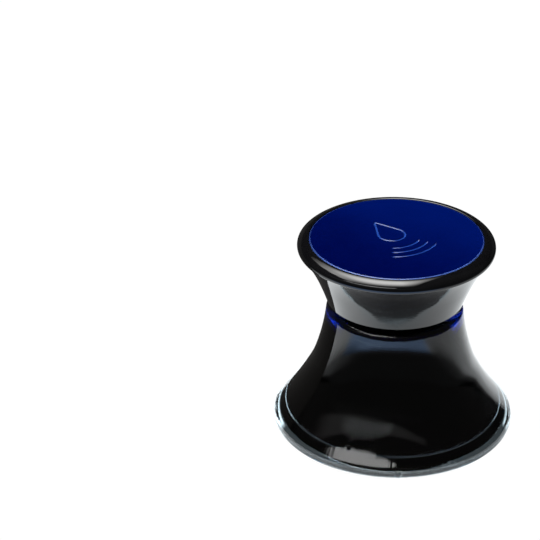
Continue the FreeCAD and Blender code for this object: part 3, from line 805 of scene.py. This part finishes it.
def ripple_line(index):
    r = RIPPLE_R + RIPPLE_PITCH * index + LINE_OFFSET
    angles = [-RIPPLE_HALF_ANGLE + 2 * RIPPLE_HALF_ANGLE * i / 64 for i in range(65)]
    return [(r * math.sin(a), EMBLEM_Y - r * math.cos(a)) for a in angles]


def emblem_turned(x, y):
    cosine, sine = math.cos(EMBLEM_ANGLE), math.sin(EMBLEM_ANGLE)
    return np.array((x * cosine - y * sine, x * sine + y * cosine))


def add_cutter(name, line, taper):
    """A round bar swept along a line on the disc's face."""
    points = [emblem_turned(*p) for p in line]
    last = len(points) - 1
    centre_z = DISC_TOP + CUTTER_LIFT
    verts, faces = [], []
    for i, (x, y) in enumerate(points):
        along = points[min(i + 1, last)] - points[max(i - 1, 0)]
        along = along / np.linalg.norm(along)
        size = 0.25 + 0.75 * smooth01(min(i, last - i) / 7.0) if taper else 1.0
        r = CUTTER_R * size
        for side in range(CUTTER_SIDES):
            a = FULL_TURN * side / CUTTER_SIDES
            verts.append((
                (x + -along[1] * r * math.cos(a)) * MM,
                (y + along[0] * r * math.cos(a)) * MM,
                (centre_z + r * math.sin(a)) * MM,
            ))
    for i in range(last):
        row, above = i * CUTTER_SIDES, (i + 1) * CUTTER_SIDES
        for side in range(CUTTER_SIDES):
            beside = (side + 1) % CUTTER_SIDES
            faces.append((row + side, row + beside, above + beside, above + side))
    faces.append(tuple(reversed(range(CUTTER_SIDES))))
    faces.append(tuple(last * CUTTER_SIDES + side for side in range(CUTTER_SIDES)))
    cutter = add_object(name, verts, faces)
    face_outward(cutter.data, recalculate=True)
    return cutter


def build_disc():
    points = soften(walk(DISC), lambda p: 0.12, closed=False, over=10.0)
    points = dense(points, lambda a, b: 3.0, closed=False)
    disc = lathe("blue_disc", fit_to_node(points, "inlay_disc"), even_angles(INNER_SEGMENTS))
    cutters = [add_cutter("cut_drop%d" % i, line, False) for i, line in enumerate(drop_lines())]
    cutters += [add_cutter("cut_ripple%d" % i, ripple_line(i), True) for i in range(3)]
    for cutter in cutters:
        cut = disc.modifiers.new(cutter.name, "BOOLEAN")
        cut.operation = "DIFFERENCE"
        cut.solver = "EXACT"
        cut.object = cutter
    depsgraph = bpy.context.evaluated_depsgraph_get()
    cut_mesh = bpy.data.meshes.new_from_object(disc.evaluated_get(depsgraph))
    disc.modifiers.clear()
    disc.data = cut_mesh
    for cutter in cutters:
        bpy.data.objects.remove(cutter)
    for polygon in disc.data.polygons:
        polygon.use_smooth = True
    disc.data.set_sharp_from_angle(angle=math.radians(28))
    register(disc, blue_disc(), "cap", "inlay_disc")


def dress_cad_nodes():
    """CAD pieces that keep their own meshes."""
    rows = (  # node, slot and material, colour, roughness, grain scale
        ("threaded_insert", "insert_plastic", (0.028, 0.028, 0.030), 0.42, 2600.0),
        ("seal_liner", "liner_foam", (0.62, 0.62, 0.58), 0.85, 4200.0),
        ("adhesive_pad", "adhesive", (0.45, 0.43, 0.36), 0.55, 1800.0),
    )
    for node, slot, base, rough, grain_scale in rows:
        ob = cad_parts[node]
        set_material(ob, moulded(slot, base, rough, grain_scale))


# --------------------------------------------------------------------------
# Studio: a white table lit near the bottle, a softbox overhead, a dark room
# --------------------------------------------------------------------------
FLOOR_HALF = 6
FLOOR_DROP = 0.00003  # below the bottle's foot
SOFTBOX_X, SOFTBOX_Y, SOFTBOX_Z = (-0.58, 0.205), (-0.36, 0.73), 0.70
FLAG_YAW = math.radians(24.8)
FLAG_CORNER = Vector((-0.0816, 0.0118, 0.0))
FLAG_WIDTH, FLAG_DEPTH, FLAG_HEIGHT = 0.0766, 0.0763, 0.0692


def add_stage(name, verts, faces):
    ob = add_object(name, verts, faces)
    return ob


def hide_from_camera(ob):
    ob.visible_camera = False
    ob.visible_shadow = False


def floor_white():
    """White to the camera with a painted contact shadow round the foot; a pool of light round the
    bottle to all other rays.
    """
    g = new_graph("stage_floor_white")
    x, y, _ = g.separate(g.coords())
    dist = g.radius(x, y)
    # the pool's edge, further out in front
    pool = g.crossfade(
        g.ramp(dist, over=(0.146, 0.174), to=(1.0, 0.10)),
        g.ramp(dist, over=(0.120, 0.168), to=(1.0, 0.20)),
        share=g.ramp(y, over=(-0.105, -0.060), to=(1.0, 0.0)),
    )
    # beyond it the light falls off more slowly on the left and behind
    behind = g.ramp(y, over=(-0.15, 0.03))
    tail = g.crossfade(
        g.ramp(dist, over=(0.165, 0.290), to=(1.0, 0.0)),
        g.ramp(dist, over=(0.150, 0.188), to=(1.0, 0.05)),
        share=g.times(behind, g.ramp(x, over=(-0.05, 0.05), to=(1.0, 0.55))),
    )
    # dimmer on the right, except far in front
    flank = g.times(g.ramp(x, over=(0.055, 0.095)), g.ramp(y, over=(-0.105, -0.085)))
    lit = g.times(pool, tail, g.minus(1.0, g.times(flank, 0.36)))
    # brighter on the left, most of all near the bottle
    near = g.ramp(dist, over=(0.050, 0.085), to=(1.0, 0.0))
    level = g.add(
        g.ramp(x, over=(-0.060, 0.060), to=(1.50, 1.25)),
        g.times(near, g.ramp(x, over=(-0.040, 0.0), to=(0.45, 0.0))),
    )
    # painted shadow under the bottle, a little wider towards the front
    shift = g.math(
        "MINIMUM",
        g.ramp(y, over=(-0.014, -0.004), to=(0.0045, 0.0)),
        g.ramp(y, over=(-0.036, -0.024), to=(0.0016, 0.0050)),
    )
    uncovered = g.ramp(g.minus(dist, shift), over=(0.0302, 0.0326))
    spill = g.ramp(y, over=(0.02, 0.14), to=(0.055, 0.004))
    # bluer in front, cooler close to the bottle
    front = g.ramp(g.add(y, g.times(x, 0.25)), over=(-0.088, -0.055), to=(1.0, 0.0))
    front = g.times(front, g.ramp(dist, over=(0.162, 0.176), to=(1.0, 0.0)))
    color = g.blend(
        g.ramp(dist, over=(0.034, 0.040), to=(0.8, 0.22)),
        g.blend(front, WHITE, (0.60, 0.86, 1.35)),
        (0.74, 0.91, 1.0),
        mode="MULTIPLY",
    )
    # painted contact shadow: the floor the camera sees is greyer close round the foot
    shade = g.ramp(dist, over=(0.0300, 0.0362), to=(0.80, 1.02))
    g.camera_mix(
        g.node("ShaderNodeLightPath"),
        others=g.emission(color, g.add(g.times(lit, level, uncovered), spill)),
        camera=g.emission(WHITE, shade),
    )
    return g.owner


def add_floor():
    far = FLOOR_HALF
    corners = [(-far, -far, 0), (far, -far, 0), (far, far, 0), (-far, far, 0)]
    floor = add_stage("stage_floor", corners, [(0, 1, 2, 3)])
    floor.location.z = CAD_LO.z - FLOOR_DROP
    floor.data.materials.append(floor_white())


def add_softbox():
    """Above, a little to the left and behind, brightest in its middle."""
    (left, right), (front, back) = SOFTBOX_X, SOFTBOX_Y
    corners = [(left, front, 0), (right, front, 0), (right, back, 0), (left, back, 0)]
    box = add_stage("stage_softbox", corners, [(0, 3, 2, 1)])
    box.location.z = SOFTBOX_Z
    g = new_graph("stage_softbox_light")
    x, y, _ = g.separate(g.coords())
    along_y = g.band(y, up=(-0.345, 0.10), down=(0.13, 0.73), end=0.08)
    along_x = g.times(
        g.ramp(x, over=(-0.58, -0.50)),
        g.ramp(x, over=(-0.40, -0.10), to=(0.42, 1.0)),
        g.ramp(x, over=(0.04, 0.175), to=(1.0, 0.0), smooth=False),
    )
    peak = 12.5
    g.surface(g.emission((1.0, 0.995, 0.98), g.times(along_y, along_x, peak)))
    box.data.materials.append(g.owner)
    hide_from_camera(box)


def add_flag():
    """A dim upright block behind on the left, seen only by indirect rays."""
    width = Vector((math.cos(FLAG_YAW), math.sin(FLAG_YAW), 0)) * FLAG_WIDTH
    depth = Vector((-math.sin(FLAG_YAW), math.cos(FLAG_YAW), 0)) * FLAG_DEPTH
    up = Vector((0, 0, FLAG_HEIGHT))
    base = [FLAG_CORNER, FLAG_CORNER + width, FLAG_CORNER + width + depth, FLAG_CORNER + depth]
    flag = add_stage(
        "stage_flag",
        [tuple(c) for c in base + [c + up for c in base]],
        [(0, 3, 2, 1), (4, 5, 6, 7), (0, 1, 5, 4), (1, 2, 6, 5), (2, 3, 7, 6), (3, 0, 4, 7)],
    )
    g = new_graph("stage_flag_grey")
    g.surface(g.emission(color=(1.0, 0.97, 0.93), strength=0.06))
    flag.data.materials.append(g.owner)
    hide_from_camera(flag)


def add_world():
    """White to the camera; a dark room with a glow, a card and a strip to other rays."""
    world = bpy.data.worlds.new("studio")
    bpy.context.scene.world = world
    g = Graph(world, "ShaderNodeOutputWorld")
    light_path = g.node("ShaderNodeLightPath")
    x, y, z = g.separate(g.coords("Generated"))
    # a glow low behind, nearly hidden from reflections
    behind = g.ramp(y, over=(0.35, 0.75))
    low = g.ramp(z, over=(0.16, 0.34), to=(1.0, 0.0))
    reflected = g.times(light_path.outputs["Is Reflection Ray"], 0.97)
    glow = g.times(behind, low, 1.2, g.minus(1.0, reflected))
    # directions in degrees: turn is 0 in front and grows to the right, rise is height
    degrees = 180.0 / math.pi
    turn = g.times(g.math("ARCTAN2", x, g.times(y, -1.0)), degrees)
    rise = g.times(g.math("ARCSINE", z), degrees)
    # a dim, long card, low in front and to the left, narrower to the right
    middle = g.add(33.6, g.times(turn, 0.10))
    half_height = g.math("MAXIMUM", g.add(2.9, g.times(turn, -0.034)), 0.5)
    off = g.math("DIVIDE", g.math("ABSOLUTE", g.minus(rise, middle)), half_height)
    card = g.times(
        g.ramp(off, over=(0.75, 1.25), to=(1.0, 0.0)),
        g.band(turn, up=(-98.0, -74.0), down=(-5.0, 36.0), end=0.6),
        g.ramp(turn, over=(34.0, 40.0), to=(1.0, 0.0)),
    )
    card_strength = 0.24
    glow = g.add(glow, g.times(card, card_strength))
    # a bright strip above it, with a sloping lower edge that is ragged along its middle
    slope = g.add(49.6, g.times(turn, 0.171))
    wander = g.combine(g.times(turn, 0.11), g.times(rise, 0.03))
    torn = g.minus(g.noise(wander, scale=3.0, detail=4.0, rough=0.6), 0.5)
    torn = g.times(torn, g.band(turn, up=(-66.0, -50.0), down=(-22.0, -12.0)))
    lower_edge = g.add(slope, g.times(torn, 11.0))
    strip = g.times(
        g.ramp(g.minus(rise, lower_edge), over=(-0.6, 0.6)),
        g.ramp(rise, over=(54.0, 58.0), to=(1.0, 0.0)),
        g.band(turn, up=(-77.0, -60.0), down=(-5.0, 0.5)),
    )
    strip_strength = 5.9
    glow = g.add(glow, g.times(strip, strip_strength))
    ambient = g.times(g.ramp(y, over=(0.25, 0.60), to=(1.0, 0.02)), 0.055)
    room = {"Strength": g.add(glow, ambient)}
    backdrop = {"Color": WHITE, "Strength": 1.02}
    g.camera_mix(
        light_path,
        others=g.value("ShaderNodeBackground", room),
        camera=g.value("ShaderNodeBackground", backdrop),
    )


# --------------------------------------------------------------------------
# Camera and render settings
# --------------------------------------------------------------------------
CAMERA_PLACE = (-0.03699, -0.59622, 0.37004)
CAMERA_PITCH = math.radians(28.196)  # downwards
CAMERA_ROLL = math.radians(-0.158)


def add_camera():
    forward = Vector((0, math.cos(CAMERA_PITCH), -math.sin(CAMERA_PITCH)))
    level_right = Vector((1, 0, 0))
    level_up = level_right.cross(forward)
    cosine, sine = math.cos(CAMERA_ROLL), math.sin(CAMERA_ROLL)
    right = cosine * level_right + sine * level_up
    up = -sine * level_right + cosine * level_up
    data = bpy.data.cameras.new("cam")
    data.sensor_width = 36.0
    data.lens = 153.333333
    data.clip_start = 0.01
    data.clip_end = 50.0
    camera = bpy.data.objects.new("cam", data)
    bpy.context.scene.collection.objects.link(camera)
    matrix = Matrix.Identity(4)
    for i in range(3):
        matrix[i] = (right[i], up[i], -forward[i], CAMERA_PLACE[i])
    camera.matrix_world = matrix
    bpy.context.scene.camera = camera


def set_render():
    scene = bpy.context.scene
    scene.view_settings.view_transform = "Standard"
    scene.view_settings.look = "None"
    cycles = scene.cycles
    cycles.max_bounces = 28
    cycles.transmission_bounces = 24
    cycles.glossy_bounces = 8
    cycles.diffuse_bounces = 2
    cycles.transparent_max_bounces = 16
    cycles.caustics_reflective = False
    cycles.caustics_refractive = False
    cycles.use_denoising = True
    cycles.denoiser = "OPENIMAGEDENOISE"
    cycles.denoising_input_passes = "RGB_ALBEDO_NORMAL"
    cycles.denoising_prefilter = "ACCURATE"
    cycles.seed = 7


build_glass()
build_ink()
build_cap()
build_disc()
dress_cad_nodes()
add_floor()
add_softbox()
add_flag()
add_world()
add_camera()
set_render()
